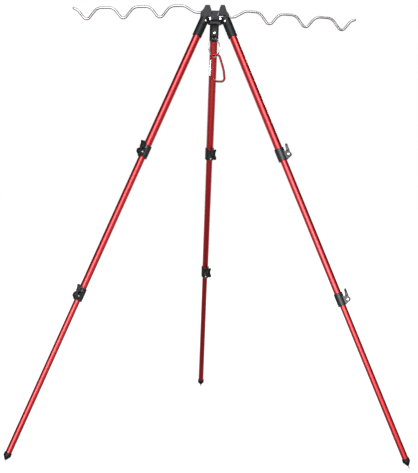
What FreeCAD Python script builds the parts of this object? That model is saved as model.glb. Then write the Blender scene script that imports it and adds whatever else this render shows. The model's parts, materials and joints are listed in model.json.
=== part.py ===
import FreeCAD, Part
import os
from math import atan2, cos, hypot, pi, radians, sin, sqrt, tan

# Surf rod tripod: a moulded head with two folding rod rests, and three telescopic legs.
# Lengths are in millimetres and angles in degrees.
# The origin is on the ground, in the middle of the footprint's box. +Z is up, and the front is -Y.

# General fits
overrun = 60.0          # how far a cut runs past what it cuts
slide_gap = 0.3         # between telescoping tubes, and between pieces that turn past each other
pin_gap = 0.05          # radial play of a pin in a piece that turns on it
press_gap = 0.02        # radial play of a pin in the piece that holds it

# Leg stance
leg_splay = 25.9        # each leg leans out this far from upright when it is on its stop
hinge_radius = 42.6     # leg pin to the tripod's axis
front_leg_turn = 120.0  # the three legs stand evenly round the axis
back_leg_azimuth = 90.0

# Tubes
upper_tube_radius = 12.5
tube_wall = 1.2
middle_tube_radius = upper_tube_radius - tube_wall - slide_gap
lower_tube_radius = middle_tube_radius - tube_wall - slide_gap
upper_section = 461.0   # upper tube, from its end in the socket to the first collar's step
middle_section = 492.0  # from the first collar's step to the second's
lower_section = 513.0   # from the second collar's step to the foot cap's rim
tube_overlap = 60.0     # how much of a tube stays inside the next one when it is drawn out

# Socket at the top of each leg
socket_wall = 2.5
socket_length = 58.0    # leg pin to the socket's lower rim
socket_floor = 17.0     # leg pin to the end of the tube inside
slot_depth = 14.0       # leg pin to the bottom of the fork's slot
rim_round = 1.2
heel_height = 9.0       # height of the flat that meets the hub and stops the leg
stop_gap = 0.3
rivet_drop = 31.5       # leg pin to the socket's rivet
rivet_radius = 2.4
rivet_head_radius = 4.0
rivet_head_height = 1.8
rivet_bulb_length = 2.0
spot_face_depth = 1.2

# Leg pins
leg_pin_radius = 3.0
pin_head_radius = 4.0
pin_head_height = 1.8

# Clamps
collar_wall = 3.0
collar_length = 42.0
collar_step = 26.0      # collar's upper rim to the end of the outer tube inside it
collar_round = 1.2
cam_pin_drop = 3.0      # outer tube's end to the lever's pin
cam_pin_reach = 13.0    # inner tube's wall to the lever's pin
cam_pin_radius = 2.0
cam_pin_head_radius = 3.3
cam_pin_head_height = 1.5
cam_radius = 6.3
cam_offset = 0.7
ear_width = 18.5
ear_radius = 7.7
ear_root_rise = 17.0    # lever's pin to the ear's upper root
cam_slot_width = 8.6
cam_side_gap = 0.3
pad_length = 10.0
pad_top_gap = 1.0       # outer tube's end to the pad
lever_length = 34.0     # pin to the centre of the rounded tip
lever_lean = 4.0        # how much further out the tip stands than the pin
lever_tip_radius = 2.4
lever_neck_rise = 11.5  # pin to where the lever widens out of the ear
lever_neck_width = 12.0
lever_paddle_width = 19.0
lever_paddle_length = 12.0
lever_corner = 2.0
collar_band_depth = 0.6
collar_band_width = 3.0

# Bushes on the inner ends of the tubes
bush_flange = 4.0
bush_spigot = 15.0
bush_bore_radius = 5.0

# Feet
foot_sleeve = 10.0
foot_cone = 13.0
foot_wall = 2.0
foot_nose_radius = 3.2
spike_radius = 1.6
spike_shank_radius = 2.2   # of the thicker part that the cap holds
spike_reach = 10.0
spike_point = 3.0
spike_tip_radius = 0.8
spike_head_radius = 6.0
spike_head_height = 3.0

# Rod rests: one bent wire on each arm
wire_radius = 4.0
wire_plane = 4.5        # the wires stand this far behind the tripod's axis
arm_droop = 3.0
wave_length = 118.5
wave_height = 35.0      # dip to hump, on the wire's centre line
wave_slope = 52.0
dip_radius = 12.0
hump_radius = 32.0
dip_count = 3
straight_run = 51.5     # the wire's end in the block to the bend where it starts to rise
first_rise = 22.7       # from the straight end in the block to the first hump
entry_radius = 26.0
entry_slope = 32.0
first_dip = 165.5       # the wire's end in the block to the first dip
tip_rise = 29.0         # last dip to the bend near the wire's tip
tip_slope = 26.0
tip_run = 42.0
tip_bend_radius = 20.0

# Arm blocks and their pivots. Places are measured across from the axis and up from the leg pins.
arm_front = -3.5
arm_back = 13.5
arm_pin_radius = 3.0
arm_lug_radius = 11.2
block_edge = 1.2
block_corner = 2.0
notch_height = 37.5     # leg pins to the foot of the horns, inside
notch_gap = 0.9         # between a block and the hub's bridge
left_pivot_x = 16.5
left_pivot_z = 9.3
left_lap = 0.2          # the hub's front plate ends here, and the left lug starts behind it
left_wire_z = 30.2
left_wire_end = 13.4
right_pivot_x = 18.3
right_pivot_z = 10.2
right_lap = 9.0         # the right lug ends here, and the hub's rear plate starts behind it
right_wire_z = 18.0
right_wire_end = 12.0
window_length = 23.0
window_height = 10.0
pin_recess_depth = 1.5
pin_recess_left = 8.0
pin_recess_right = 34.0
pin_recess_top = 12.5
# Corners of each block's outer side and horn
left_corners = ((48.4, 12.1), (47.4, 32.2), (38.6, 40.4), (32.4, 53.8), (17.2, 53.8))
right_corners = ((47.6, 9.1), (44.8, 28.2), (37.8, 34.8), (31.6, 55.2), (17.5, 55.2))

# Hub
hub_floor = -8.0
hub_front_high = 7.0    # top of the hub's sloping front, at the arms
hub_front_low = -3.0    # and at its front edge
hub_back_top = 14.5
hub_flat_width = 28.0
hub_front_face = -8.0
hub_back_face = 20.0
hub_edge = 1.0
cover_right = 8.5       # the front plate reaches this far past the axis
web_left = 5.0
web_right = 6.5
bridge_top = 35.6
bridge_floor = 25.0
bridge_half_width = 11.4
plate_radius = 13.0
plate_boss_radius = 7.0
plate_boss_height = 1.0
neck_share = 0.68       # how much of the way out to an arm's pivot the plate's neck reaches
neck_below = 11.0
neck_above = 9.0
tongue_width = 12.0
tongue_radius = 11.0
tongue_root_height = 5.0

# Hanger, ring and snap hook
hanger_y = 14.5         # the ring hangs this far behind the axis
hanger_width = 18.0
hanger_thickness = 4.0
hanger_rivet_drop = 33.5
hanger_rivet_radius = 2.4
hanger_lap = 9.0        # from the rivet to the end of each lapped piece
hanger_hole_radius = 6.0
hanger_hole_edge = 1.4
hanger_lip = 4.4
hang_gap = 0.5          # between the ring and what it hangs on, and between the ring and the hook
ring_radius = 30.0
ring_wire_radius = 2.0
ring_top_drop = 50.0
ring_azimuth = 51.9
hook_bar_radius = 3.6
# The hook's centre line from nose to heel: across from the axis, down from its top bar, and bend radius
hook_path = (
    (-10.5, 12.0, 0.0),
    (-10.5, 0.0, 7.0),
    (17.0, 0.0, 11.0),
    (33.0, 49.0, 120.0),
    (37.5, 86.5, 11.0),
    (2.0, 86.0, 26.0),
    (-12.2, 67.0, 0.0),
)
gate_radius = 2.9
gate_gap = 0.5
gate_pin_radius = 0.9
gate_tongue_width = 2.4
gate_tongue_radius = 2.2


def vector(x, y, z):
    return FreeCAD.Vector(x, y, z)


ORIGIN = vector(0, 0, 0)
X_AXIS = vector(1, 0, 0)
Y_AXIS = vector(0, 1, 0)
Z_AXIS = vector(0, 0, 1)


# Outlines: a belt drawn round a list of circles (x, z, radius), counter-clockwise in the XZ plane.
# A radius of zero is a sharp corner.
def belt_wire(circles):
    count = len(circles)
    leaves = []
    arrives = [None] * count
    for index, (ax, az, ar) in enumerate(circles):
        bx, bz, br = circles[(index + 1) % count]
        gap = hypot(bx - ax, bz - az)
        ux, uz = (bx - ax) / gap, (bz - az) / gap
        along = (ar - br) / gap
        across = sqrt(1 - along * along)
        nx, nz = ux * along + uz * across, uz * along - ux * across
        leaves.append((ax + ar * nx, az + ar * nz, atan2(nz, nx)))
        arrives[(index + 1) % count] = (bx + br * nx, bz + br * nz, atan2(nz, nx))
    edges = []
    for index, (cx, cz, radius) in enumerate(circles):
        start, end = arrives[index], leaves[index]
        turn = (end[2] - start[2]) % (2 * pi)
        if radius > 0 and turn > 0:
            middle = start[2] + turn / 2
            point = vector(cx + radius * cos(middle), 0, cz + radius * sin(middle))
            first, last = vector(start[0], 0, start[1]), vector(end[0], 0, end[1])
            edges.append(Part.Arc(first, point, last).toShape())
        after = arrives[(index + 1) % count]
        edges.append(Part.LineSegment(vector(end[0], 0, end[1]), vector(after[0], 0, after[1])).toShape())
    return Part.Wire(edges)


def slab(circles, front, back):
    """A belt outline with its thickness along Y, from front to back."""
    solid = Part.Face(belt_wire(circles)).extrude(vector(0, back - front, 0))
    solid.translate(vector(0, front, 0))
    return solid


def edged_slab(circles, front, back, edge):
    """The same with its long edges rounded off."""
    solid = slab(circles, front, back)
    rims = [e for e in solid.Edges if abs(e.BoundBox.YMax - e.BoundBox.YMin) < edge]
    return solid.makeFillet(edge, rims)


def turned(circles):
    """A belt outline turned once round the Z axis."""
    return Part.Face(belt_wire(circles)).revolve(ORIGIN, Z_AXIS, 360)


def block(x_low, x_high, y_low, y_high, z_low, z_high):
    corner = vector(x_low, y_low, z_low)
    return Part.makeBox(x_high - x_low, y_high - y_low, z_high - z_low, corner)


def rod(radius, start, end):
    """A round bar between two points."""
    way = end.sub(start)
    return Part.makeCylinder(radius, way.Length, start, way)


def upright_rod(radius, low, high):
    return rod(radius, vector(0, 0, low), vector(0, 0, high))


def cross_rod(radius, x, z, front, back):
    """A round bar along Y."""
    return rod(radius, vector(x, front, z), vector(x, back, z))


def ring_profile(inner, outer, low, high, corner):
    """A rounded oblong, to be turned into a sleeve."""
    return [
        (inner, low, 0),
        (outer - corner, low + corner, corner),
        (outer - corner, high - corner, corner),
        (inner, high, 0),
    ]


def domed_head(radius, height, start, way):
    """A low domed rivet head that stands on start and points along way."""
    base = Part.makeCylinder(radius, height / 2, start, way)
    cap = Part.makeCone(radius, radius / 2, height / 2, start.add(way.multiply(height / 2)), way)
    return base.fuse(cap).removeSplitter()


def headed_pin(radius, head_radius, head_height, x, z, front, back):
    """A pin along Y with a domed head on each end, outside front and back."""
    pin = cross_rod(radius, x, z, front, back)
    pin = pin.fuse(domed_head(head_radius, head_height, vector(x, front, z), vector(0, -1, 0)))
    pin = pin.fuse(domed_head(head_radius, head_height, vector(x, back, z), vector(0, 1, 0)))
    return pin.removeSplitter()


# Each leg is built upright in its own frame: its pin lies along Y through the origin, and +X is outward.
fork_radius = upper_tube_radius + socket_wall
upper_end = socket_floor + upper_section
middle_end = upper_end + middle_section
cap_rim = middle_end + lower_section
lower_end = cap_rim + foot_sleeve
nose_end = lower_end + foot_cone
spike_end = nose_end + spike_reach
middle_top = upper_end - tube_overlap
lower_top = middle_end - tube_overlap
hub_flat_radius = hinge_radius - fork_radius - stop_gap


def leg_socket():
    sleeve = turned(ring_profile(upper_tube_radius, fork_radius, -socket_length, -socket_floor, rim_round))
    column = upright_rod(fork_radius, -socket_floor, socket_floor + heel_height)
    cheeks = cross_rod(fork_radius, 0, 0, -fork_radius, fork_radius)
    cheeks = cheeks.fuse(block(-fork_radius, fork_radius, -fork_radius, fork_radius, -socket_floor, 0))
    flat = -fork_radius
    heel = slab(
        [(flat, 0, 0), (0, 0, 0), (0, fork_radius, 0), (flat, heel_height, 0)],
        -fork_radius,
        fork_radius,
    )
    heel.rotate(ORIGIN, Y_AXIS, leg_splay)
    body = sleeve.fuse(column.common(cheeks.fuse(heel)))
    half_slot = tongue_width / 2 + slide_gap
    slot = block(-overrun, overrun, -half_slot, half_slot, -slot_depth, overrun)
    body = body.cut(slot)
    body = body.cut(cross_rod(leg_pin_radius + pin_gap, 0, 0, -overrun, overrun))
    for side in (-1, 1):
        face = side * (fork_radius - spot_face_depth)
        body = body.cut(cross_rod(pin_head_radius + slide_gap, 0, 0, face, side * overrun))
    body = body.cut(rod(rivet_radius, vector(-overrun, 0, -rivet_drop), vector(0, 0, -rivet_drop)))
    seat = vector(-fork_radius + spot_face_depth / 2, 0, -rivet_drop)
    body = body.cut(rod(rivet_head_radius + press_gap, seat, vector(-overrun, 0, -rivet_drop)))
    return body.removeSplitter()


def socket_rivet():
    seat = -fork_radius + spot_face_depth / 2
    bulb_radius = rivet_radius + tube_wall / 2
    inside = -sqrt((upper_tube_radius - tube_wall) ** 2 - bulb_radius**2)
    shank = rod(rivet_radius - press_gap, vector(seat, 0, -rivet_drop), vector(inside, 0, -rivet_drop))
    head = domed_head(rivet_head_radius, rivet_head_height, vector(seat, 0, -rivet_drop), vector(-1, 0, 0))
    start = vector(inside, 0, -rivet_drop)
    bulb = Part.makeCylinder(bulb_radius, rivet_bulb_length, start, X_AXIS)
    return shank.fuse(head).fuse(bulb).removeSplitter()


def tube(radius, top, bottom):
    wall = turned(
        [
            (radius - tube_wall, -bottom, 0),
            (radius, -bottom, 0),
            (radius, -top, 0),
            (radius - tube_wall, -top, 0),
        ]
    )
    return wall


def upper_tube():
    wall = tube(upper_tube_radius, socket_floor, upper_end)
    return wall.cut(rod(rivet_radius, vector(-overrun, 0, -rivet_drop), vector(0, 0, -rivet_drop)))


def bush(radius, inner_radius, top):
    """A plug in a tube's inner end. Its flange guides the tube in the next one."""
    flange = upright_rod(radius, -top, -top + bush_flange)
    spigot = upright_rod(inner_radius - press_gap, -top - bush_spigot, -top)
    hole = upright_rod(bush_bore_radius, -top - bush_spigot, -top + bush_flange)
    return flange.fuse(spigot).cut(hole).removeSplitter()


def ear_outline(pin_x, pin_z, root_x, collar_floor):
    return [
        (root_x, collar_floor + collar_round, 0),
        (pin_x, pin_z, ear_radius),
        (root_x, pin_z + ear_root_rise, 0),
    ]


def clamp_places(outer_radius, inner_radius, tube_end):
    """Where a clamp's pin, pad and collar lie: pin x, pin z, cam's seat x, collar's top and floor."""
    pin_x = inner_radius + cam_pin_reach
    pin_z = -tube_end - cam_pin_drop
    seat_x = pin_x - cam_radius - cam_offset - slide_gap
    return pin_x, pin_z, seat_x, -tube_end + collar_step, -tube_end + collar_step - collar_length


def pad_block(inner_radius, tube_end, seat_x, play):
    half = cam_slot_width / 2 - cam_side_gap + play
    pad_top = -tube_end - pad_top_gap
    return block(0, seat_x, -half, half, pad_top - pad_length - play, pad_top + play)


def collar(outer_radius, inner_radius, tube_end):
    pin_x, pin_z, seat_x, top, floor = clamp_places(outer_radius, inner_radius, tube_end)
    running = inner_radius + slide_gap
    radius = outer_radius + collar_wall
    body = turned(ring_profile(running, radius, floor, top, collar_round))
    groove = ring_profile(radius - collar_band_depth, radius + overrun, 0, collar_band_width, 0)
    for height in (top - collar_band_width - collar_wall, floor + collar_wall):
        band = turned([(x, z + height, corner) for x, z, corner in groove])
        body = body.cut(band)
    ear = slab(ear_outline(pin_x, pin_z, outer_radius, floor), -ear_width / 2, ear_width / 2)
    body = body.fuse(ear.cut(upright_rod(running, floor - overrun, top + overrun)))
    body = body.cut(upright_rod(outer_radius, -tube_end, top + overrun))
    slot_floor = seat_x - slide_gap
    half_slot = cam_slot_width / 2
    body = body.cut(block(slot_floor, overrun, -half_slot, half_slot, floor - overrun, top + overrun))
    body = body.cut(pad_block(inner_radius, tube_end, slot_floor + slide_gap, cam_side_gap))
    body = body.cut(cross_rod(cam_pin_radius + press_gap, pin_x, pin_z, -overrun, overrun))
    return body.removeSplitter()


def clamp_pad(outer_radius, inner_radius, tube_end):
    seat_x = clamp_places(outer_radius, inner_radius, tube_end)[2]
    pad = pad_block(inner_radius, tube_end, seat_x, 0)
    running = inner_radius + slide_gap
    return pad.cut(upright_rod(running, -tube_end - overrun, -tube_end + overrun))


def clamp_pin(outer_radius, inner_radius, tube_end):
    pin_x, pin_z = clamp_places(outer_radius, inner_radius, tube_end)[:2]
    half = ear_width / 2
    return headed_pin(cam_pin_radius, cam_pin_head_radius, cam_pin_head_height, pin_x, pin_z, -half, half)


def lever(outer_radius, inner_radius, tube_end):
    pin_x, pin_z = clamp_places(outer_radius, inner_radius, tube_end)[:2]
    side = [
        (-cam_offset, 0, cam_radius),
        (lever_lean, lever_length, lever_tip_radius),
    ]
    half_paddle = lever_paddle_width / 2
    profile = slab(side, -half_paddle, half_paddle)
    half_cam = cam_slot_width / 2 - cam_side_gap
    half_neck = lever_neck_width / 2
    paddle_root = lever_length - lever_paddle_length
    widening = lever_neck_rise + (half_neck - half_cam)
    tip_x, tip_z = half_paddle - lever_corner, lever_length
    front = [
        (-half_cam, -ear_radius, 0),
        (half_cam, -ear_radius, 0),
        (half_cam, lever_neck_rise, 0),
        (half_neck, widening, 0),
        (half_neck, paddle_root, 0),
        (tip_x, tip_z - lever_corner, lever_corner),
        (-tip_x, tip_z - lever_corner, lever_corner),
        (-half_neck, paddle_root, 0),
        (-half_neck, widening, 0),
        (-half_cam, lever_neck_rise, 0),
    ]
    width = slab(front, -overrun, overrun)
    width.rotate(ORIGIN, Z_AXIS, 90)
    body = profile.common(width)
    body = body.cut(cross_rod(cam_pin_radius + pin_gap, 0, 0, -overrun, overrun))
    body.translate(vector(pin_x, 0, pin_z))
    return body


def foot_cap():
    radius = lower_tube_radius + foot_wall
    outline = [
        (0, -nose_end, 0),
        (foot_nose_radius - rim_round, -nose_end + rim_round, rim_round),
        (radius - rim_round, -lower_end, rim_round),
        (radius - rim_round, -cap_rim - rim_round, rim_round),
        (0, -cap_rim, 0),
    ]
    body = turned(outline)
    body = body.cut(upright_rod(lower_tube_radius, -lower_end, -cap_rim + overrun))
    return body.cut(upright_rod(spike_shank_radius + press_gap, -nose_end - overrun, -lower_end + overrun))


def foot_spike():
    outline = [
        (0, -spike_end, 0),
        (spike_radius, -spike_end + spike_point, 0),
        (spike_radius, -nose_end, 0),
        (spike_shank_radius, -nose_end, 0),
        (spike_shank_radius, -lower_end, 0),
        (spike_head_radius, -lower_end, 0),
        (spike_head_radius, -lower_end + spike_head_height, 0),
        (0, -lower_end + spike_head_height, 0),
    ]
    point = turned(outline)
    ball_centre = spike_end - spike_tip_radius
    point = point.cut(upright_rod(spike_radius + overrun, -spike_end - overrun, -ball_centre))
    ball = Part.makeSphere(spike_tip_radius, vector(0, 0, -ball_centre))
    return point.fuse(ball).removeSplitter()


def leg_pieces(upper_twist, lower_twist):
    """Every piece of one leg, in the leg's own upright frame."""
    upper = (upper_tube_radius, middle_tube_radius, upper_end)
    lower = (middle_tube_radius, lower_tube_radius, middle_end)
    pieces = {
        "leg_socket": leg_socket(),
        "socket_rivet": socket_rivet(),
        "upper_tube": upper_tube(),
        "middle_tube": tube(middle_tube_radius, middle_top, middle_end),
        "middle_bush": bush(middle_tube_radius, middle_tube_radius - tube_wall, middle_top),
        "lower_tube": tube(lower_tube_radius, lower_top, lower_end),
        "lower_bush": bush(lower_tube_radius, lower_tube_radius - tube_wall, lower_top),
        "foot_cap": foot_cap(),
        "foot_spike": foot_spike(),
    }
    for level, sizes, twist in (("upper", upper, upper_twist), ("lower", lower, lower_twist)):
        clamp = {
            "collar": collar(*sizes),
            "clamp_pad": clamp_pad(*sizes),
            "clamp_pin": clamp_pin(*sizes),
            "lever": lever(*sizes),
        }
        for name, shape in clamp.items():
            shape.rotate(ORIGIN, Z_AXIS, twist)
            pieces[level + "_" + name] = shape
    return pieces


# Where the tripod stands on the ground
ball_run = spike_end - spike_tip_radius
hinge_height = ball_run * cos(radians(leg_splay)) + spike_tip_radius


def lean(shape, azimuth):
    """Turns a piece of a leg from the leg's own frame to the head's frame."""
    shape.rotate(ORIGIN, Y_AXIS, -leg_splay)
    shape.translate(vector(hinge_radius, 0, 0))
    shape.rotate(ORIGIN, Z_AXIS, azimuth)
    return shape


def footprint_middle():
    """How far the middle of the three feet's box lies behind the tripod's axis."""
    azimuths = (back_leg_azimuth, back_leg_azimuth + front_leg_turn)
    box = Part.Compound([lean(foot_cap(), azimuth) for azimuth in azimuths]).optimalBoundingBox(False)
    return (box.YMax + box.YMin) / 2


axis_y = -footprint_middle()


def stand(shape):
    """Moves a shape from the head's frame, at the leg pins' height on the axis, to the ground frame."""
    shape.translate(vector(0, axis_y, hinge_height))
    return shape


# The legs: name, azimuth, and how far each clamp's ear is turned from outward
LEGS = (
    ("left", back_leg_azimuth + front_leg_turn, 30.0, 40.0),
    ("right", back_leg_azimuth - front_leg_turn, 15.0, 17.0),
    ("back", back_leg_azimuth, -150.0, -150.0),
)


def tongue(azimuth):
    """The hub's tongue that a leg's fork turns on."""
    root = -hinge_radius / 2
    outline = [
        (root, hub_floor, 0),
        (0, 0, tongue_radius),
        (root, hub_floor + tongue_root_height + tongue_radius / 2, 0),
    ]
    half = tongue_width / 2
    arm = slab(outline, -half, half)
    arm = arm.cut(cross_rod(leg_pin_radius + press_gap, 0, 0, -overrun, overrun))
    arm.translate(vector(hinge_radius, 0, 0))
    arm.rotate(ORIGIN, Z_AXIS, azimuth)
    return arm


def hub_core(low, high):
    """The hub's hexagonal middle, with a flat towards each leg."""
    corners = []
    for azimuth in sorted(leg[1] % 360 for leg in LEGS):
        for side in (-1, 1):
            out, across = hub_flat_radius, side * hub_flat_width / 2
            turn = radians(azimuth)
            x = out * cos(turn) - across * sin(turn)
            y = out * sin(turn) + across * cos(turn)
            corners.append(vector(x, y, low))
    corners.append(corners[0])
    return Part.Face(Part.makePolygon(corners)).extrude(vector(0, 0, high - low))


def pivot_plate(pivot_x, pivot_z, front, back):
    """The hub's round plate beside an arm's lug."""
    disc = cross_rod(plate_radius, pivot_x, pivot_z, front, back)
    low_x, high_x = sorted((pivot_x * neck_share, 0))
    neck = block(low_x, high_x, front, back, pivot_z - neck_below, pivot_z + neck_above)
    return disc.fuse(neck)


def arm_slot():
    """The space through the hub that the arm blocks swing in."""
    return block(-overrun, overrun, arm_front - slide_gap, arm_back + slide_gap, -overrun, overrun)


def fork_room():
    """The space outside the hub's flats, where the legs' forks turn."""
    rooms = []
    half = fork_radius + slide_gap
    for leg in LEGS:
        room = block(hub_flat_radius, hub_flat_radius + overrun, -half, half, -overrun, overrun)
        room.rotate(ORIGIN, Z_AXIS, leg[1])
        rooms.append(room)
    return Part.Compound(rooms)


def head_hub():
    slot_front, slot_back = arm_front - slide_gap, arm_back + slide_gap
    slope = [
        (-hub_flat_radius - overrun, hub_floor, 0),
        (slot_front, hub_floor, 0),
        (slot_front, hub_front_high, 0),
        (hub_front_face, hub_front_high, 0),
        (-hub_flat_radius, hub_front_low, 0),
        (-hub_flat_radius - overrun, hub_front_low, 0),
    ]
    slope = slab(slope, -overrun, overrun)
    slope.rotate(ORIGIN, Z_AXIS, 90)
    front_core = hub_core(hub_floor, hub_front_high).common(slope)
    back_core = hub_core(hub_floor, hub_back_top)
    back_core = back_core.cut(block(-overrun, overrun, -overrun, slot_back, -overrun, overrun))
    hub = front_core.fuse(back_core)
    hub = hub.cut(arm_slot())
    hub = hub.fuse(block(-web_left, web_right, hub_front_face, hub_back_face, hub_floor, bridge_top))
    bridge = [
        (-bridge_half_width + block_corner, bridge_floor, 0),
        (bridge_half_width - block_corner, bridge_floor, 0),
        (bridge_half_width - hub_edge, bridge_top - hub_edge, hub_edge),
        (-bridge_half_width + hub_edge, bridge_top - hub_edge, hub_edge),
    ]
    hub = hub.fuse(slab(bridge, hub_front_face, hub_back_face))
    hub = hub.fuse(pivot_plate(-left_pivot_x, left_pivot_z, hub_front_face, left_lap))
    cover = [
        (-left_pivot_x, left_pivot_z, plate_radius),
        (cover_right, hub_floor, 0),
        (cover_right, bridge_floor, 0),
    ]
    hub = hub.fuse(slab(cover, hub_front_face, slot_front))
    boss_front = hub_front_face - plate_boss_height
    hub = hub.fuse(cross_rod(plate_boss_radius, -left_pivot_x, left_pivot_z, boss_front, hub_front_face))
    back_plate = pivot_plate(right_pivot_x, right_pivot_z, right_lap + slide_gap, hub_back_face)
    hub = hub.fuse(back_plate)
    hub = hub.cut(fork_room())
    for leg in LEGS:
        hub = hub.fuse(tongue(leg[1]).cut(arm_slot()))
    for x, z in ((-left_pivot_x, left_pivot_z), (right_pivot_x, right_pivot_z)):
        hub = hub.cut(cross_rod(arm_pin_radius + press_gap, x, z, -overrun, overrun))
        hub = hub.cut(cross_rod(pin_head_radius + slide_gap, x, z, hub_back_face, overrun))
        hub = hub.cut(cross_rod(pin_head_radius + slide_gap, x, z, -overrun, boss_front))
    half = hanger_width / 2
    lug = [
        (-half + hub_edge, -hanger_rivet_drop - hanger_lap + hub_edge, hub_edge),
        (half - hub_edge, -hanger_rivet_drop - hanger_lap + hub_edge, hub_edge),
        (half, hub_floor, 0),
        (-half, hub_floor, 0),
    ]
    lug_front = hanger_y + hanger_thickness / 2
    lug = slab(lug, lug_front, lug_front + hanger_thickness)
    lug = lug.cut(cross_rod(hanger_rivet_radius, 0, -hanger_rivet_drop, -overrun, overrun))
    return hub.fuse(lug).removeSplitter()


def leg_pivot_pins():
    pins = []
    face = fork_radius - spot_face_depth + slide_gap
    for leg in LEGS:
        pin = headed_pin(leg_pin_radius, pin_head_radius, pin_head_height, 0, 0, -face, face)
        pin.translate(vector(hinge_radius, 0, 0))
        pin.rotate(ORIGIN, Z_AXIS, leg[1])
        pins.append(pin)
    return Part.Compound(pins)


def head_pins():
    """The two pins that the arm blocks turn on, and the rivet that holds the ring's hanger."""
    left_front = hub_front_face - plate_boss_height
    right_front = arm_front + pin_recess_depth - slide_gap
    head = (arm_pin_radius, pin_head_radius, pin_head_height)
    left = headed_pin(*head, -left_pivot_x, left_pivot_z, left_front, hub_back_face)
    right = headed_pin(*head, right_pivot_x, right_pivot_z, right_front, hub_back_face)
    return Part.Compound([left, right, hanger_rivet()])


def hanger_link():
    half = hanger_width / 2
    hole_z = -ring_top_drop - ring_wire_radius - hang_gap + hanger_hole_radius
    foot = hole_z - hanger_hole_radius - hanger_lip
    top = -hanger_rivet_drop + hanger_lap
    outline = [
        (-half + hanger_hole_radius, foot + hanger_hole_radius, hanger_hole_radius),
        (half - hanger_hole_radius, foot + hanger_hole_radius, hanger_hole_radius),
        (half - hub_edge, top - hub_edge, hub_edge),
        (-half + hub_edge, top - hub_edge, hub_edge),
    ]
    front = hanger_y - hanger_thickness / 2
    link = slab(outline, front, front + hanger_thickness)
    link = link.cut(cross_rod(hanger_hole_radius, 0, hole_z, -overrun, overrun))
    wide = hanger_hole_radius + hanger_hole_edge
    for face, way in ((front, Y_AXIS), (front + hanger_thickness, -Y_AXIS)):
        start = vector(0, face, hole_z)
        link = link.cut(Part.makeCone(wide, hanger_hole_radius, hanger_hole_edge, start, way))
    return link.cut(cross_rod(hanger_rivet_radius, 0, -hanger_rivet_drop, -overrun, overrun))


def hanger_rivet():
    front = hanger_y - hanger_thickness / 2
    back = front + 2 * hanger_thickness
    shank = hanger_rivet_radius - press_gap
    drop = -hanger_rivet_drop
    rivet = cross_rod(shank, 0, drop, front, back)
    head = domed_head(rivet_head_radius, rivet_head_height, vector(0, front, drop), vector(0, -1, 0))
    tail = domed_head(rivet_head_radius, rivet_head_height / 2, vector(0, back, drop), vector(0, 1, 0))
    return rivet.fuse(head).fuse(tail).removeSplitter()


def hanging_ring():
    middle = vector(0, hanger_y, -ring_top_drop - ring_radius)
    turn = radians(ring_azimuth + 90)
    return Part.makeTorus(ring_radius, ring_wire_radius, middle, vector(cos(turn), sin(turn), 0))


# Round bars along a path of straight runs and arcs, given as points with a bend radius at each
def bent_path(points):
    """A wire in the XZ plane through points (x, z, bend radius). The ends have no bend."""
    edges = []
    last = vector(points[0][0], 0, points[0][1])
    for before, here, after in zip(points, points[1:], points[2:]):
        corner = vector(here[0], 0, here[1])
        back = vector(before[0], 0, before[1]).sub(corner).normalize()
        ahead = vector(after[0], 0, after[1]).sub(corner).normalize()
        half = back.getAngle(ahead) / 2
        reach = here[2] / tan(half)
        start = corner.add(vector(*back).multiply(reach))
        end = corner.add(vector(*ahead).multiply(reach))
        spine = back.add(ahead).normalize()
        middle = corner.add(spine.multiply(here[2] / sin(half) - here[2]))
        if start.sub(last).Length > press_gap:
            edges.append(Part.LineSegment(last, start).toShape())
        edges.append(Part.Arc(start, middle, end).toShape())
        last = end
    edges.append(Part.LineSegment(last, vector(points[-1][0], 0, points[-1][1])).toShape())
    return Part.Wire(edges)


def bar_along(path, radius):
    """A round bar swept along a path."""
    start = path.OrderedVertexes[0].Point
    way = path.OrderedEdges[0].tangentAt(path.OrderedEdges[0].FirstParameter)
    section = Part.Wire([Part.makeCircle(radius, start, way)])
    return path.makePipeShell([section], True, False)


def rod_rest_points(block_side, wire_z, wire_end):
    """Corners of a rod rest's centre line: across from the axis, up from the leg pins, bend radius."""
    slope = tan(radians(wave_slope))
    dip_corner = wave_height + dip_radius * (1 / cos(radians(wave_slope)) - 1)
    crest = wire_z + first_rise
    points = [
        (wire_end, wire_z, 0),
        (wire_end + straight_run, wire_z, entry_radius),
        (wire_end + straight_run + first_rise / tan(radians(entry_slope)), crest, hump_radius),
    ]
    for count in range(dip_count):
        dip = wire_end + first_dip + count * wave_length
        points.append((dip - dip_corner / slope, crest, hump_radius))
        points.append((dip, crest - dip_corner, dip_radius))
        if count < dip_count - 1:
            points.append((dip + dip_corner / slope, crest, hump_radius))
    bend = crest - wave_height + tip_rise
    run = (bend - crest + dip_corner) / slope
    points.append((dip + run, bend, tip_bend_radius))
    points.append((dip + tip_run, bend + (tip_run - run) * tan(radians(tip_slope)), 0))
    droop = tan(radians(arm_droop))
    return [points[0]] + [(x, z - (x - block_side) * droop, bend) for x, z, bend in points[1:]]


def rod_rest(corners, wire_z, wire_end):
    points = rod_rest_points(corners[0][0], wire_z, wire_end)
    wire = bar_along(bent_path(points), wire_radius)
    tip = vector(points[-1][0], 0, points[-1][1])
    wire = wire.fuse(Part.makeSphere(wire_radius, tip))
    wire.translate(vector(0, wire_plane, 0))
    return wire


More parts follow.
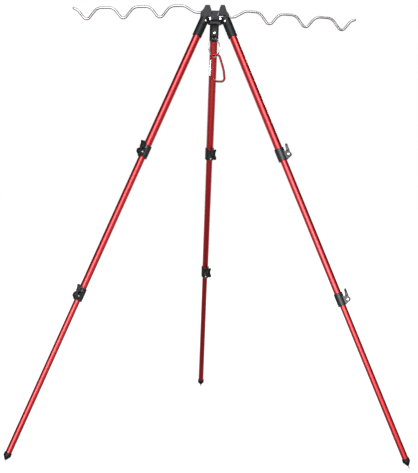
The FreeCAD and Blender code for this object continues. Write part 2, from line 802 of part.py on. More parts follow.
def arm_block(corners, pivot_x, pivot_z, wire_z, wire_end):
    """One moulded block, drawn on the right: its lug, its shoulder and its horn."""
    side, shoulder, horn_root, horn_out, horn_in = corners
    corner = block_corner
    outline = [
        (pivot_x, pivot_z, arm_lug_radius),
        (side[0] - corner, side[1] + corner, corner),
        (shoulder[0] - corner, shoulder[1] - corner, corner),
        (horn_root[0], horn_root[1], 0),
        (horn_out[0] - corner, horn_out[1] - corner, corner),
        (horn_in[0] + corner, horn_in[1] - corner, corner),
        (bridge_half_width + notch_gap, notch_height, 0),
        (bridge_half_width - block_corner + notch_gap, bridge_floor, 0),
    ]
    body = edged_slab(outline, arm_front, arm_back, block_edge)
    start, bend = rod_rest_points(side[0], wire_z, wire_end)[:2]
    bore = rod(wire_radius, vector(start[0], wire_plane, start[1]), vector(bend[0], wire_plane, bend[1]))
    return body.cut(bore)


def left_arm_block():
    body = arm_block(left_corners, left_pivot_x, left_pivot_z, left_wire_z, left_wire_end)
    room = plate_radius + slide_gap
    body = body.cut(cross_rod(room, left_pivot_x, left_pivot_z, -overrun, left_lap + slide_gap))
    body = body.cut(cross_rod(arm_pin_radius + pin_gap, left_pivot_x, left_pivot_z, -overrun, overrun))
    return body.mirror(ORIGIN, X_AXIS)


def right_arm_block():
    body = arm_block(right_corners, right_pivot_x, right_pivot_z, right_wire_z, right_wire_end)
    room = plate_radius + slide_gap
    body = body.cut(cross_rod(room, right_pivot_x, right_pivot_z, right_lap, overrun))
    body = body.cut(cross_rod(arm_pin_radius + pin_gap, right_pivot_x, right_pivot_z, -overrun, overrun))
    recess = arm_front + pin_recess_depth
    body = body.cut(cross_rod(pin_head_radius + slide_gap, right_pivot_x, right_pivot_z, -overrun, recess))
    recess_floor = right_pivot_z - arm_lug_radius
    body = body.cut(block(pin_recess_left, pin_recess_right, -overrun, recess, recess_floor, pin_recess_top))
    low = right_wire_z - window_height / 2
    right = right_wire_end + window_length
    window = block(right_wire_end, right, -overrun, wire_plane, low, low + window_height)
    return body.cut(window)


# The snap hook hangs in the plane of the hanger, from the bottom of the ring
hook_top = -ring_top_drop - 2 * ring_radius + ring_wire_radius + hang_gap + hook_bar_radius


def hook_point(place):
    return vector(place[0], hanger_y, hook_top - place[1])


def carabiner_body():
    points = [(x, hook_top - drop, bend) for x, drop, bend in hook_path]
    hook = bar_along(bent_path(points), hook_bar_radius)
    hook.translate(vector(0, hanger_y, 0))
    nose, heel = hook_point(hook_path[0]), hook_point(hook_path[-1])
    hook = hook.fuse(Part.makeSphere(hook_bar_radius, nose))
    hook = hook.fuse(Part.makeSphere(hook_bar_radius, heel))
    half = gate_tongue_width / 2 + slide_gap
    room = hook_bar_radius + gate_gap
    hook = hook.cut(cross_rod(room, heel.x, heel.z, hanger_y - half, hanger_y + half))
    return hook.cut(cross_rod(gate_pin_radius, heel.x, heel.z, -overrun, overrun))


def carabiner_gate():
    nose, heel = hook_point(hook_path[0]), hook_point(hook_path[-1])
    tip = nose.sub(vector(0, 0, hook_bar_radius + gate_gap + gate_radius))
    way = tip.sub(heel)
    reach = way.Length
    way.normalize()
    foot = heel.add(vector(*way).multiply(hook_bar_radius + gate_gap))
    gate = rod(gate_radius, foot, tip).fuse(Part.makeSphere(gate_radius, tip))
    half = gate_tongue_width / 2
    neck = block(-gate_tongue_radius, gate_tongue_radius, -half, half, 0, hook_bar_radius + 2 * gate_gap)
    neck.rotate(ORIGIN, Y_AXIS, 90 - atan2(way.z, way.x) * 180 / pi)
    neck.translate(heel)
    gate = gate.fuse(neck)
    gate = gate.fuse(cross_rod(gate_tongue_radius, heel.x, heel.z, hanger_y - half, hanger_y + half))
    hole = cross_rod(gate_pin_radius + pin_gap, heel.x, heel.z, -overrun, overrun)
    return gate.cut(hole).removeSplitter()


def carabiner_gate_pin():
    heel = hook_point(hook_path[-1])
    front, back = hanger_y - hook_bar_radius, hanger_y + hook_bar_radius
    return cross_rod(gate_pin_radius - press_gap, heel.x, heel.z, front, back)


def head_pieces():
    """The head, its two arms, the ring and the snap hook, in the head's frame."""
    left_wire = rod_rest(left_corners, left_wire_z, left_wire_end).mirror(ORIGIN, X_AXIS)
    return {
        "head_hub": head_hub(),
        "leg_pivot_pins": leg_pivot_pins(),
        "head_pins": head_pins(),
        "hanger_link": hanger_link(),
        "left_arm_block": left_arm_block(),
        "right_arm_block": right_arm_block(),
        "left_rod_rest": left_wire,
        "right_rod_rest": rod_rest(right_corners, right_wire_z, right_wire_end),
        "hanging_ring": hanging_ring(),
        "carabiner_body": carabiner_body(),
        "carabiner_gate": carabiner_gate(),
        "carabiner_gate_pin": carabiner_gate_pin(),
    }


def save(name, shape):
    shape.exportStep("parts/" + name + ".step")


if __name__ == "__main__":
    os.makedirs("parts", exist_ok=True)
    for piece, form in head_pieces().items():
        save(piece, stand(form))
    for side, azimuth, upper_twist, lower_twist in LEGS:
        leg = leg_pieces(upper_twist, lower_twist)
        rivet, pin = leg.pop("socket_rivet"), leg.pop("upper_clamp_pin")
        leg["upper_leg_pins"] = Part.Compound([rivet, pin])
        for piece, form in leg.items():
            save(side + "_" + piece, stand(lean(form, azimuth)))
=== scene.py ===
# Looks of a surf rod tripod: finishes, rounded mouldings, studio and camera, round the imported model

import json
import logging
import math
from collections.abc import Iterable
from dataclasses import dataclass, field
from enum import Enum

import bpy
from mathutils import Matrix, Vector

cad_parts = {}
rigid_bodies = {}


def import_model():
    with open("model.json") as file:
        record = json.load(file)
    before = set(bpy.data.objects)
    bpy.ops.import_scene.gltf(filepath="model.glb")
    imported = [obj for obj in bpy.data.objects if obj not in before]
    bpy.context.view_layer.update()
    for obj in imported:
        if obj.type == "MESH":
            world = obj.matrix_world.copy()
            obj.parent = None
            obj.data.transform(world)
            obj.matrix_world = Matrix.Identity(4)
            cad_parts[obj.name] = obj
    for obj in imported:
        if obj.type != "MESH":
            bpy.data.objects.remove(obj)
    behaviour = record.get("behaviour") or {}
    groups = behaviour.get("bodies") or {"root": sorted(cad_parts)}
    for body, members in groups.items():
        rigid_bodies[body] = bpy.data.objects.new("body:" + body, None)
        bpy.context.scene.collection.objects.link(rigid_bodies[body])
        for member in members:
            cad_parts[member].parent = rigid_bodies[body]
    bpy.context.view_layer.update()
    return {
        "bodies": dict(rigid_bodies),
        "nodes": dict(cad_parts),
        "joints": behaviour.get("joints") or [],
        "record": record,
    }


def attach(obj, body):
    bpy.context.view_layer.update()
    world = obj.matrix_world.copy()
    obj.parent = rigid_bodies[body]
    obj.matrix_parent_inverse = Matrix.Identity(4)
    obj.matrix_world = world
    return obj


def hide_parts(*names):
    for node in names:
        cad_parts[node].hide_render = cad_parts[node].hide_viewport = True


LOG = logging.getLogger("rod_tripod")
MM = 0.001
UP = Vector((0, 0, 1))
WHITE = (1.0, 1.0, 1.0, 1.0)
# Corners closer than this are one corner, faces that turn less than the second are one face,
# and edges that turn more than the third are rounded, in so many steps
MERGE_MM = 0.01
FLAT_DEG = 1.0
EDGE_DEG = 32.0
EDGE_STEPS = 2
# The sRGB curve is straight up to the knee and a power from there
SRGB_KNEE = 0.04045
SRGB_SLOPE = 12.92
SRGB_OFFSET = 0.055
SRGB_POWER = 2.4
# Draw lines are this many times as long as wide
LINE_STRETCH = 50.0
# Handling marks are patches about this wide
PATCH_MM = 25.0
# The two noises' product lies mostly between these
NOISE_LOW = 0.1
NOISE_HIGH = 0.4
LEAST_ROUGHNESS = 0.02
BUMP_STRENGTH = 0.5
COAT_ROUGHNESS = 0.26


def linear_colour(code: str) -> tuple[float, float, float, float]:
    """Turns an sRGB hex code to Blender's linear colour.

    Args:
        code: six hex digits, such as "C8102E".

    Returns:
        Red, green, blue and full opacity.
    """
    red, green, blue = (
        part / SRGB_SLOPE if part <= SRGB_KNEE else ((part + SRGB_OFFSET) / (1 + SRGB_OFFSET)) ** SRGB_POWER
        for part in (int(code[start : start + 2], 16) / 255 for start in (0, 2, 4))
    )
    return (red, green, blue, 1.0)


def add_node(
    tree: bpy.types.NodeTree,
    kind: str,
    settings: dict[str, object] | None = None,
    values: dict[str, object] | None = None,
    links: dict[str | int, bpy.types.NodeSocket] | None = None,
) -> bpy.types.Node:
    """Adds a node with its settings and links.

    Args:
        tree: the material's or world's node tree.
        kind: the node's type name.
        settings: properties of the node itself.
        values: default values by input name.
        links: sockets to join, by input name or number.

    Returns:
        The new node.
    """
    node = tree.nodes.new(kind)
    for key, value in (settings or {}).items():
        setattr(node, key, value)
    for key, value in (values or {}).items():
        node.inputs[key].default_value = value
    for key, socket in (links or {}).items():
        tree.links.new(socket, node.inputs[key])
    return node


def mix_colours(
    tree: bpy.types.NodeTree,
    factor: bpy.types.NodeSocket,
    first: tuple[float, float, float, float],
    second: tuple[float, float, float, float],
) -> bpy.types.NodeSocket:
    """Blends two colours by a factor socket.

    Args:
        tree: the material's node tree.
        factor: 0 gives the first colour and 1 the second.
        first: linear colour.
        second: linear colour.

    Returns:
        The socket with the blended colour.
    """
    ramp = add_node(tree, "ShaderNodeValToRGB", links={"Fac": factor})
    ramp.color_ramp.elements[0].color = first
    ramp.color_ramp.elements[1].color = second
    return ramp.outputs["Color"]


class Grain(Enum):
    """How a surface was made, which sets the pattern that its finish carries."""

    MOULDED = "fine spark-eroded mould texture"
    DRAWN = "faint lines along a drawn tube"
    PLAIN = "even, with slight handling marks"


@dataclass(frozen=True)
class Finish:
    """One real material with its surface.

    Args:
        name: what it is called in the workshop.
        colour: sRGB hex code of the body colour.
        worn: sRGB hex code of the slightly different tone that varies over it.
        metallic: 1 for bare metal.
        roughness: mean roughness.
        spread: how far the roughness varies each way.
        grain: how its surface was made.
        grain_mm: size of the pattern in millimetres, coarser than real where it has to show.
        relief_mm: height of the pattern in millimetres.
        coat: strength of the clear layer on top.
        gleam: the shader's specular level.
    """

    name: str
    colour: str
    worn: str
    metallic: float
    roughness: float
    spread: float
    grain: Grain
    grain_mm: float
    relief_mm: float
    coat: float = 0.0
    gleam: float = 0.5

    def build(self, run: Vector | None = None, suffix: str = "") -> bpy.types.Material:
        """Makes the material.

        Args:
            run: the direction that drawn lines follow; straight up if left out.
            suffix: added to the name where a finish is made once for each leg.

        Returns:
            The material, on Object coordinates.
        """
        material = bpy.data.materials.new(self.name + suffix)
        material.use_nodes = True
        tree = material.node_tree
        shader = tree.nodes["Principled BSDF"]
        turn = (run or UP).rotation_difference(UP).to_euler()
        plain = add_node(tree, "ShaderNodeTexCoord").outputs["Object"]
        place = add_node(
            tree, "ShaderNodeMapping", values={"Rotation": tuple(turn)}, links={"Vector": plain}
        ).outputs["Vector"]
        scale = 1 / (self.grain_mm * MM)
        along = scale / LINE_STRETCH if self.grain is Grain.DRAWN else scale
        mapped = add_node(
            tree, "ShaderNodeMapping", values={"Scale": (scale, scale, along)}, links={"Vector": place}
        )
        fine = add_node(
            tree,
            "ShaderNodeTexNoise",
            values={"Scale": 1.0, "Detail": 2.0, "Roughness": 0.6},
            links={"Vector": mapped.outputs["Vector"]},
        )
        broad = add_node(
            tree,
            "ShaderNodeTexNoise",
            values={"Scale": 1 / (PATCH_MM * MM), "Detail": 3.0, "Roughness": 0.55},
            links={"Vector": place},
        )
        tone = mix_colours(tree, broad.outputs["Fac"], linear_colour(self.colour), linear_colour(self.worn))
        tree.links.new(tone, shader.inputs["Base Color"])
        blend = add_node(
            tree,
            "ShaderNodeMath",
            settings={"operation": "MULTIPLY"},
            links={0: fine.outputs["Fac"], 1: broad.outputs["Fac"]},
        )
        rough = add_node(
            tree,
            "ShaderNodeMapRange",
            values={
                "From Min": NOISE_LOW,
                "From Max": NOISE_HIGH,
                "To Min": max(self.roughness - self.spread, LEAST_ROUGHNESS),
                "To Max": min(self.roughness + self.spread, 1.0),
            },
            links={"Value": blend.outputs["Value"]},
        )
        tree.links.new(rough.outputs["Result"], shader.inputs["Roughness"])
        bump = add_node(
            tree,
            "ShaderNodeBump",
            values={"Strength": BUMP_STRENGTH, "Distance": self.relief_mm * MM},
            links={"Height": fine.outputs["Fac"]},
        )
        tree.links.new(bump.outputs["Normal"], shader.inputs["Normal"])
        shader.inputs["Metallic"].default_value = self.metallic
        shader.inputs["Coat Weight"].default_value = self.coat
        shader.inputs["Coat Roughness"].default_value = COAT_ROUGHNESS
        shader.inputs["Specular IOR Level"].default_value = self.gleam
        return material


# Dyed anodising on drawn 6063 tube: a deep clear red with a satin metal sheen and faint draw lines,
# which are drawn 0.5 mm wide to show
ANODISED_TUBE = Finish(
    "red_anodised_tube", "BC0A17", "A60712", 0.88, 0.3, 0.05, Grain.DRAWN, 0.5, 0.01, coat=0.7, gleam=0.3
)
# Glass-filled nylon of the clamp collars, from an eroded mould: near black with a grey bloom.
# Its pits are drawn 0.8 mm wide, coarser than real, to show
FILLED_NYLON = Finish(
    "black_filled_nylon", "0B0C0E", "121316", 0.0, 0.4, 0.08, Grain.MOULDED, 0.8, 0.12, gleam=0.36
)
# The head, the sockets and the foot caps: the same nylon from a coarser eroded mould, duller, with pits
# drawn
# 0.9 mm wide to show, and a darker body colour that is painted shade, dimming these pieces against the
# collars
SHADED_MATT_NYLON = Finish(
    "matt_nylon_painted_shade", "08090B", "0E0F12", 0.0, 0.5, 0.08, Grain.MOULDED, 0.9, 0.15, gleam=0.18
)
# Edges that hands and sand have rubbed: the same nylon, smoother and a shade greyer
RUBBED_NYLON = Finish(
    "rubbed_nylon_edge", "17181B", "1E1F23", 0.0, 0.34, 0.06, Grain.PLAIN, 1.0, 0.01, gleam=0.3
)
# Levers come from the same nylon, polished by handling, so that little is left of the pits,
# which are drawn 0.9 mm wide
HANDLED_NYLON = Finish(
    "handled_nylon", "0A0B0D", "111215", 0.0, 0.34, 0.07, Grain.MOULDED, 0.9, 0.03, gleam=0.36
)
# Drawn 304 wire, bent and left as drawn: mid grey with a satin sheen
STAINLESS_WIRE = Finish(
    "stainless_wire", "7C787B", "706D70", 1.0, 0.3, 0.04, Grain.PLAIN, 0.6, 0.005
)
# Nickel-plated pins and rivets: a mirror with slight tool marks
PLATED_STEEL = Finish(
    "nickel_plated_steel", "F2F0EC", "E6E4E0", 1.0, 0.14, 0.05, Grain.PLAIN, 1.0, 0.005
)
# Welded steel ring, plated: darker and a little duller than the pins
RING_STEEL = Finish(
    "plated_ring_steel", "B8B9BA", "ACADAF", 1.0, 0.18, 0.06, Grain.PLAIN, 1.2, 0.006
)
# Anodised forged aluminium of the snap hook: a darker red than the tubes', and a little duller
HOOK_ALUMINIUM = Finish(
    "red_anodised_hook", "720610", "60050C", 0.9, 0.36, 0.05, Grain.PLAIN, 1.0, 0.01, coat=0.1, gleam=0.3
)
# Tumbled aluminium of the gate: pale and satin
GATE_ALUMINIUM = Finish(
    "tumbled_aluminium", "D9DADD", "CBCDD0", 1.0, 0.32, 0.06, Grain.PLAIN, 0.8, 0.01
)
# Hard brake rubber: dull charcoal, with a grain drawn 0.7 mm wide to show
BRAKE_RUBBER = Finish("brake_rubber", "1E1E1E", "262626", 0.0, 0.8, 0.08, Grain.MOULDED, 0.7, 0.05)
# Acetal bushes: black and waxy, nearly without grain
ACETAL = Finish("black_acetal", "161617", "1B1B1C", 0.0, 0.3, 0.05, Grain.MOULDED, 1.0, 0.02)
# Turned mild steel of the spikes: pale grey, satin from the lathe
SPIKE_STEEL = Finish("turned_spike_steel", "B9BABD", "A6A7AB", 1.0, 0.3, 0.08, Grain.PLAIN, 0.8, 0.01)


class Paintbox:
    """Builds each finish once and gives it to pieces."""

    def __init__(self) -> None:
        """Starts with no material made."""
        self.made: dict[str, bpy.types.Material] = {}

    def material(self, finish: Finish, run: Vector | None = None, suffix: str = "") -> bpy.types.Material:
        """Gives the finish's material, made on first use.

        Args:
            finish: the finish.
            run: the direction that its drawn lines follow.
            suffix: sets apart the materials of one finish that run different ways.

        Returns:
            The material.
        """
        key = finish.name + suffix
        if key not in self.made:
            self.made[key] = finish.build(run, suffix)
        return self.made[key]

    def dress(
        self, piece: bpy.types.Object, finish: Finish, run: Vector | None = None, suffix: str = ""
    ) -> None:
        """Puts one finish on every slot of a piece.

        Args:
            piece: the object to dress.
            finish: the finish it gets.
            run: the direction that its drawn lines follow.
            suffix: sets apart the materials of one finish that run different ways.
        """
        material = self.material(finish, run, suffix)
        if not piece.material_slots:
            piece.data.materials.append(material)
        for slot in piece.material_slots:
            slot.material = material
        LOG.info("dressed %s in %s", piece.name, finish.name)


def deselect() -> None:
    """Leaves nothing selected, so that an operator acts only on what is selected after it."""
    if bpy.context.object and bpy.context.object.mode != "OBJECT":
        bpy.ops.object.mode_set(mode="OBJECT")
    bpy.ops.object.select_all(action="DESELECT")


def select_only(piece: bpy.types.Object) -> None:
    """Selects one object and makes it active.

    Args:
        piece: the object.
    """
    deselect()
    piece.select_set(True)
    bpy.context.view_layer.objects.active = piece


@dataclass(frozen=True)
class RoundedPiece:
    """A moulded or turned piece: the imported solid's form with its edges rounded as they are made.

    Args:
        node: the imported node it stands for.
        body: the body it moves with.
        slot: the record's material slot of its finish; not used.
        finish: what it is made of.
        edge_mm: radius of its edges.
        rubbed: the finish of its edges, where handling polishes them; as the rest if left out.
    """

    node: str
    body: str
    slot: str
    finish: Finish
    edge_mm: float
    rubbed: Finish | None = None

    def build(self, frame: dict, paints: Paintbox) -> bpy.types.Object:
        """Copies the node's form, merges it, rounds its edges and dresses it.

        Args:
            paints: the finishes.

        Returns:
            The finished piece.
        """
        piece = bpy.data.objects.new(self.node + "_rounded", frame["nodes"][self.node].data.copy())
        bpy.context.scene.collection.objects.link(piece)
        select_only(piece)
        bpy.ops.object.mode_set(mode="EDIT")
        bpy.ops.mesh.select_all(action="SELECT")
        bpy.ops.mesh.remove_doubles(threshold=MERGE_MM * MM)
        bpy.ops.mesh.dissolve_limited(angle_limit=math.radians(FLAT_DEG))
        bpy.ops.object.mode_set(mode="OBJECT")
        piece.data.materials.clear()
        piece.data.materials.append(paints.material(self.finish))
        bevel = piece.modifiers.new("rounded_edges", "BEVEL")
        bevel.width = self.edge_mm * MM
        bevel.segments = EDGE_STEPS
        bevel.limit_method = "ANGLE"
        bevel.angle_limit = math.radians(EDGE_DEG)
        bevel.use_clamp_overlap = True
        if self.rubbed:
            piece.data.materials.append(paints.material(self.rubbed))
            bevel.material = 1
        bpy.ops.object.modifier_apply(modifier=bevel.name)
        bpy.ops.object.shade_smooth_by_angle(angle=math.radians(EDGE_DEG))
        level = piece.modifiers.new("flat_faces", "WEIGHTED_NORMAL")
        level.keep_sharp = True
        bpy.ops.object.modifier_apply(modifier=level.name)
        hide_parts(self.node)
        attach(piece, self.body)
        LOG.info("rounded %s in %s", piece.name, self.finish.name)
        return piece


@dataclass
class Head:
    """The moulded head with its pins and the two arm blocks.

    Args:
        hub_edge_mm: radius of the hub's edges.
        block_edge_mm: radius of the arm blocks' edges.
        link_edge_mm: radius of the hanger link's edges.
        pin_edge_mm: radius of the pin heads' edges.
    """

    hub_edge_mm: float = 0.8
    block_edge_mm: float = 0.7
    link_edge_mm: float = 0.6
    pin_edge_mm: float = 0.5

    def build(self, frame: dict, paints: Paintbox) -> None:
        """Rounds the hub, the link, the blocks and the pins.

        Args:
            paints: the finishes.
        """
        # The hub, the link and the blocks take the nylon whose darker body colour is painted shade
        pieces = [
            ("head_hub", "head", "black_moulding", SHADED_MATT_NYLON, self.hub_edge_mm, RUBBED_NYLON),
            ("hanger_link", "head", "black_moulding", SHADED_MATT_NYLON, self.link_edge_mm, RUBBED_NYLON),
            ("leg_pivot_pins", "head", "pin_steel", PLATED_STEEL, self.pin_edge_mm),
            ("head_pins", "head", "pin_steel", PLATED_STEEL, self.pin_edge_mm),
        ]
        for arm in ("left_arm", "right_arm"):
            block = (arm + "_block", arm, "black_moulding", SHADED_MATT_NYLON, self.block_edge_mm, RUBBED_NYLON)
            pieces.append(block)
        for piece in pieces:
            RoundedPiece(*piece).build(frame, paints)


@dataclass
class RodRests:
    """The two bent wires.

    Args:
        sides: the arms that hold them.
    """

    sides: tuple[str, str] = ("left", "right")

    def build(self, frame: dict, paints: Paintbox) -> None:
        """Dresses both wires."""
        for side in self.sides:
            paints.dress(frame["nodes"][side + "_rod_rest"], STAINLESS_WIRE)


@dataclass
class HangingHook:
    """The ring under the head and the snap hook that hangs in it.

    Args:
        pin_edge_mm: radius of the gate pin's edges.
    """

    pin_edge_mm: float = 0.3

    def build(self, frame: dict, paints: Paintbox) -> None:
        """Dresses the ring, the hook and its gate, and rounds the gate's pin.

        Args:
            paints: the finishes.
        """
        nodes = frame["nodes"]
        paints.dress(nodes["hanging_ring"], RING_STEEL)
        paints.dress(nodes["carabiner_body"], HOOK_ALUMINIUM)
        paints.dress(nodes["carabiner_gate"], GATE_ALUMINIUM)
        pin = RoundedPiece("carabiner_gate_pin", "hook", "pin_steel", PLATED_STEEL, self.pin_edge_mm)
        pin.build(frame, paints)


@dataclass
class Leg:
    """One telescopic leg.

    Args:
        side: left, right or back.
        finishes: the finish of each piece that keeps its packed form.
        rounded: the body, slot, finish, edge radius in millimetres and edge finish of each rounded piece.
    """

    side: str
    finishes: dict[str, Finish] = field(
        default_factory=lambda: {
            "upper_tube": ANODISED_TUBE,
            "middle_tube": ANODISED_TUBE,
            "lower_tube": ANODISED_TUBE,
            "upper_clamp_pad": BRAKE_RUBBER,
            "lower_clamp_pad": BRAKE_RUBBER,
            "middle_bush": ACETAL,
            "lower_bush": ACETAL,
            "foot_spike": SPIKE_STEEL,
        }
    )
    # The socket and the foot cap take the nylon whose darker body colour is painted shade
    rounded: dict[str, tuple[str, str, Finish, float, Finish | None]] = field(
        default_factory=lambda: {
            "leg_socket": ("upper_leg", "black_moulding", SHADED_MATT_NYLON, 0.6, RUBBED_NYLON),
            "upper_collar": ("upper_leg", "black_moulding", FILLED_NYLON, 0.5, RUBBED_NYLON),
            "lower_collar": ("middle_leg", "black_moulding", FILLED_NYLON, 0.5, RUBBED_NYLON),
            "upper_lever": ("upper_cam", "black_moulding", HANDLED_NYLON, 0.6, RUBBED_NYLON),
            "lower_lever": ("lower_cam", "black_moulding", HANDLED_NYLON, 0.6, RUBBED_NYLON),
            "foot_cap": ("lower_leg", "black_moulding", SHADED_MATT_NYLON, 0.5, RUBBED_NYLON),
            "upper_leg_pins": ("upper_leg", "pin_steel", PLATED_STEEL, 0.4, None),
            "lower_clamp_pin": ("middle_leg", "pin_steel", PLATED_STEEL, 0.4, None),
        }
    )

    def build(self, frame: dict, paints: Paintbox) -> None:
        """Dresses the leg's tubes, pads, bushes and spike, and rounds its mouldings and pins.

        Args:
            paints: the finishes.
        """
        slide = next(j for j in frame["joints"] if j["name"] == self.side + "_middle_slide")
        run = Vector(slide["axis"]).normalized()
        for name, finish in self.finishes.items():
            paints.dress(frame["nodes"][self.side + "_" + name], finish, run, "_" + self.side)
        for name, (body, *rest) in self.rounded.items():
            RoundedPiece(self.side + "_" + name, self.side + "_" + body, *rest).build(frame, paints)


@dataclass
class Studio:
    """Floor, lamps and camera.

    Args:
        pitch_deg: how far the camera looks down.
        yaw_deg: how far the tripod stands turned to the camera.
        roll_deg: how far the picture is turned.
        distance_mm: camera to the point it looks at.
        look_x_mm: that point, across from the tripod's axis.
        look_z_mm: that point, above the ground.
        focal_px: focal length in the photograph's pixels.
        frame_px: the photograph's height in pixels.
        sensor_mm: the camera's sensor height.
        far_m: how far the camera sees.
        sky: the world's glow on the tripod.
        flags: brightness of the black cards at both sides, as mirrors show them.
        rear_card: brightness of the grey card behind, as mirrors show it.
        front_edge: where the flags end and the white in front begins, as directions forwards.
        rear_edge: where the flags end and the grey card begins, as directions backwards.
        paper_colour: sRGB hex code of the floor's paper.
        paper_roughness: how dull the paper is.
        paper_m: side of the square of paper.
        paper_back_m: how far its middle lies behind the tripod.
        paper_drop_m: how far it lies under the spikes' tips.
        paper_lift: how bright the paper's own white is near the tripod, where its shadow lies.
        lift_reach_m: distances from the tripod between which that white rises to full.
        mirror_reach_m: distances before and behind the tripod between which mirrors begin to show it.
        aim_m: height of the point that the lamps face.
        lamps: name, place in metres, power in watts, width and height in metres of each lamp.
    """

    pitch_deg: float = 4.5
    yaw_deg: float = 1.76
    roll_deg: float = 1.38
    distance_mm: float = 3321.0
    look_x_mm: float = -2.5
    look_z_mm: float = 664.2
    focal_px: float = 1005.0
    frame_px: float = 473.0
    sensor_mm: float = 36.0
    far_m: float = 50.0
    sky: float = 0.3
    flags: float = 0.02
    rear_card: float = 0.16
    front_edge: tuple[float, float] = (-0.35, -0.65)
    rear_edge: tuple[float, float] = (0.35, 0.9)
    paper_colour: str = "808080"
    paper_roughness: float = 0.9
    paper_m: float = 24.0
    paper_back_m: float = 4.0
    paper_drop_m: float = 0.0005
    paper_lift: float = 0.86
    lift_reach_m: tuple[float, float] = (0.5, 2.6)
    mirror_reach_m: tuple[float, float] = (0.4, 1.3)
    aim_m: float = 0.8
    lamps: tuple[tuple[str, tuple[float, float, float], float, float, float], ...] = (
        ("strip", (-0.3, -3.9, 3.4), 330.0, 1.8, 4.8),
        ("fill", (-1.1, -4.0, 1.0), 105.0, 1.5, 1.7),
        ("rear", (1.2, 4.4, 3.4), 140.0, 1.6, 3.6),
    )

    def axis(self, frame: dict) -> Vector:
        """Finds the tripod's axis on the ground, the middle of its three leg pins.


        Returns:
            The point on the ground.
        """
        places = [Vector(j["pos_m"]) for j in frame["joints"] if j["name"].endswith("leg_fold")]
        middle = sum(places, Vector()) / len(places)
        return Vector((middle.x, middle.y, 0.0))

    def place_camera(self, frame: dict) -> None:
        """Sets the camera where the photograph was taken from.
        """
        pitch, roll = math.radians(self.pitch_deg), math.radians(self.roll_deg)
        right = Vector((1, 0, 0))
        ahead = Vector((0, math.cos(pitch), -math.sin(pitch)))
        above = Vector((0, math.sin(pitch), math.cos(pitch)))
        look = Vector((self.look_x_mm, 0, self.look_z_mm)) * MM
        eye = look - ahead * self.distance_mm * MM
        across = right * math.cos(roll) + above * math.sin(roll)
        upward = above * math.cos(roll) - right * math.sin(roll)
        turn = Matrix([across, upward, -ahead]).transposed()
        yaw = Matrix.Rotation(math.radians(-self.yaw_deg), 3, "Z")
        data = bpy.data.cameras.new("photo_camera")
        data.sensor_fit = "VERTICAL"
        data.sensor_height = self.sensor_mm
        data.lens = self.focal_px * self.sensor_mm / self.frame_px
        data.clip_end = self.far_m
        camera = bpy.data.objects.new("photo_camera", data)
        bpy.context.scene.collection.objects.link(camera)
        place = Matrix.Translation(yaw @ eye + self.axis(frame)) @ (yaw @ turn).to_4x4()
        camera.matrix_world = place
        bpy.context.scene.camera = camera
        LOG.info("camera at %s", tuple(round(v, 3) for v in place.translation))

    def lay_floor(self) -> None:
        """Lays white paper that takes the tripod's shadow and runs out to pure white."""
        deselect()
        place = (0.0, self.paper_back_m, -self.paper_drop_m)
        bpy.ops.mesh.primitive_plane_add(size=self.paper_m, location=place)
        floor = bpy.context.object
        floor.name = "floor"
        select_only(floor)
        bpy.ops.object.transform_apply(location=True, rotation=True, scale=True)
        floor.data.materials.append(self.white_paper())

    def white_paper(self) -> bpy.types.Material:
        """Makes the paper, which adds its own white to what the lamps leave on it.

        Returns:
            The material, on Object coordinates.
        """
        material = bpy.data.materials.new("white_paper")
        material.use_nodes = True
        tree = material.node_tree
        shader = tree.nodes["Principled BSDF"]
        shader.inputs["Base Color"].default_value = linear_colour(self.paper_colour)
        shader.inputs["Roughness"].default_value = self.paper_roughness
        shader.inputs["Specular IOR Level"].default_value = 0.0
        seen = self.seen_by_eye(tree)
        place = add_node(tree, "ShaderNodeTexCoord").outputs["Object"]
        away = add_node(tree, "ShaderNodeVectorMath", settings={"operation": "LENGTH"}, links={0: place})
        near, far = self.lift_reach_m
        lift = add_node(
            tree,
            "ShaderNodeMapRange",
            settings={"interpolation_type": "SMOOTHSTEP"},
            values={"From Min": near, "From Max": far, "To Min": self.paper_lift, "To Max": 1.0},
            links={"Value": away.outputs["Value"]},
        )
        depth = add_node(tree, "ShaderNodeSeparateXYZ", links={"Vector": place}).outputs["Y"]
        off = add_node(tree, "ShaderNodeMath", settings={"operation": "ABSOLUTE"}, links={0: depth})
        near, far = self.mirror_reach_m
        apart = add_node(
            tree,
            "ShaderNodeMapRange",
            values={"From Min": near, "From Max": far},
            links={"Value": off.outputs["Value"]},
        )
        path = add_node(tree, "ShaderNodeLightPath")
        shown = add_node(
            tree,
            "ShaderNodeMath",
            settings={"operation": "MAXIMUM"},
            links={0: apart.outputs["Result"], 1: path.outputs["Is Camera Ray"]},
        )
        part = add_node(
            tree,
            "ShaderNodeMath",
            settings={"operation": "MULTIPLY"},
            links={0: shown.outputs["Value"], 1: seen},
        )
        strength = add_node(
            tree,
            "ShaderNodeMath",
            settings={"operation": "MULTIPLY"},
            links={0: lift.outputs["Result"], 1: part.outputs["Value"]},
        )
        glow = add_node(
            tree,
            "ShaderNodeEmission",
            values={"Color": WHITE},
            links={"Strength": strength.outputs["Value"]},
        )
        both = add_node(
            tree,
            "ShaderNodeAddShader",
            links={0: shader.outputs["BSDF"], 1: glow.outputs["Emission"]},
        )
        tree.links.new(both.outputs["Shader"], tree.nodes["Material Output"].inputs["Surface"])
        return material

    def seen_by_eye(self, tree: bpy.types.NodeTree) -> bpy.types.NodeSocket:
        """Gives 1 for rays from the camera, mirrors and glass, and 0 for light that spreads.

        Args:
            tree: the floor's or the world's node tree.

        Returns:
            The socket with that number.
        """
        path = add_node(tree, "ShaderNodeLightPath")
        mirror = add_node(
            tree,
            "ShaderNodeMath",
            settings={"operation": "MAXIMUM"},
            links={0: path.outputs["Is Glossy Ray"], 1: path.outputs["Is Transmission Ray"]},
        )
        seen = add_node(
            tree,
            "ShaderNodeMath",
            settings={"operation": "MAXIMUM"},
            links={0: path.outputs["Is Camera Ray"], 1: mirror.outputs["Value"]},
        )
        return seen.outputs["Value"]

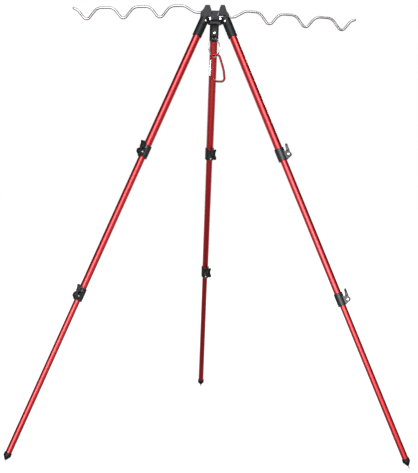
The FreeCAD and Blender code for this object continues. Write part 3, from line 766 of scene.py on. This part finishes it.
    def glow(self) -> None:
        """Sets the world's glow, and the white, the flags and the grey card that mirrors show."""
        world = bpy.data.worlds.new("studio")
        bpy.context.scene.world = world
        world.use_nodes = True
        tree = world.node_tree
        tree.nodes.clear()
        way = add_node(tree, "ShaderNodeTexCoord").outputs["Generated"]
        depth = add_node(tree, "ShaderNodeSeparateXYZ", links={"Vector": way}).outputs["Y"]
        near, far = self.front_edge
        in_front = add_node(
            tree,
            "ShaderNodeMapRange",
            settings={"interpolation_type": "SMOOTHSTEP"},
            values={"From Min": near, "From Max": far, "To Min": self.flags, "To Max": 1.0},
            links={"Value": depth},
        )
        near, far = self.rear_edge
        behind = add_node(
            tree,
            "ShaderNodeMapRange",
            settings={"interpolation_type": "SMOOTHSTEP"},
            values={"From Min": near, "From Max": far, "To Min": self.flags, "To Max": self.rear_card},
            links={"Value": depth},
        )
        mirrored = add_node(
            tree,
            "ShaderNodeMath",
            settings={"operation": "MAXIMUM"},
            links={0: in_front.outputs["Result"], 1: behind.outputs["Result"]},
        )
        path = add_node(tree, "ShaderNodeLightPath")
        shown = add_node(
            tree,
            "ShaderNodeMath",
            settings={"operation": "MAXIMUM"},
            links={0: mirrored.outputs["Value"], 1: path.outputs["Is Camera Ray"]},
        )
        strength = add_node(
            tree,
            "ShaderNodeMapRange",
            values={"To Min": self.sky},
            links={"Value": self.seen_by_eye(tree), "To Max": shown.outputs["Value"]},
        )
        glow = add_node(
            tree,
            "ShaderNodeBackground",
            values={"Color": WHITE},
            links={"Strength": strength.outputs["Result"]},
        )
        add_node(tree, "ShaderNodeOutputWorld", links={"Surface": glow.outputs["Background"]})

    def hang_lamps(self) -> None:
        """Hangs a tall key lamp, a low fill and a rear lamp, all facing the tripod."""
        for name, place, power, width, height in self.lamps:
            data = bpy.data.lights.new(name, "AREA")
            data.shape = "RECTANGLE"
            data.energy = power
            data.size = width
            data.size_y = height
            lamp = bpy.data.objects.new(name, data)
            bpy.context.scene.collection.objects.link(lamp)
            spot = Vector(place)
            aim = (UP * self.aim_m - spot).to_track_quat("-Z", "Y")
            lamp.matrix_world = Matrix.Translation(spot) @ aim.to_matrix().to_4x4()
            LOG.info("lamp %s of %g W", name, power)

    def build(self, frame: dict) -> None:
        """Sets up the whole studio.
        """
        self.place_camera(frame)
        self.lay_floor()
        self.glow()
        self.hang_lamps()
        bpy.context.scene.view_settings.view_transform = "Standard"


def main() -> None:
    """Loads the frame and builds every part of the scene in order."""
    logging.basicConfig(level=logging.INFO, format="%(message)s")
    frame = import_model()
    Studio().build(frame)
    paints = Paintbox()
    Head().build(frame, paints)
    RodRests().build(frame, paints)
    HangingHook().build(frame, paints)
    for side in ("left", "right", "back"):
        Leg(side).build(frame, paints)


if __name__ == "__main__":
    main()
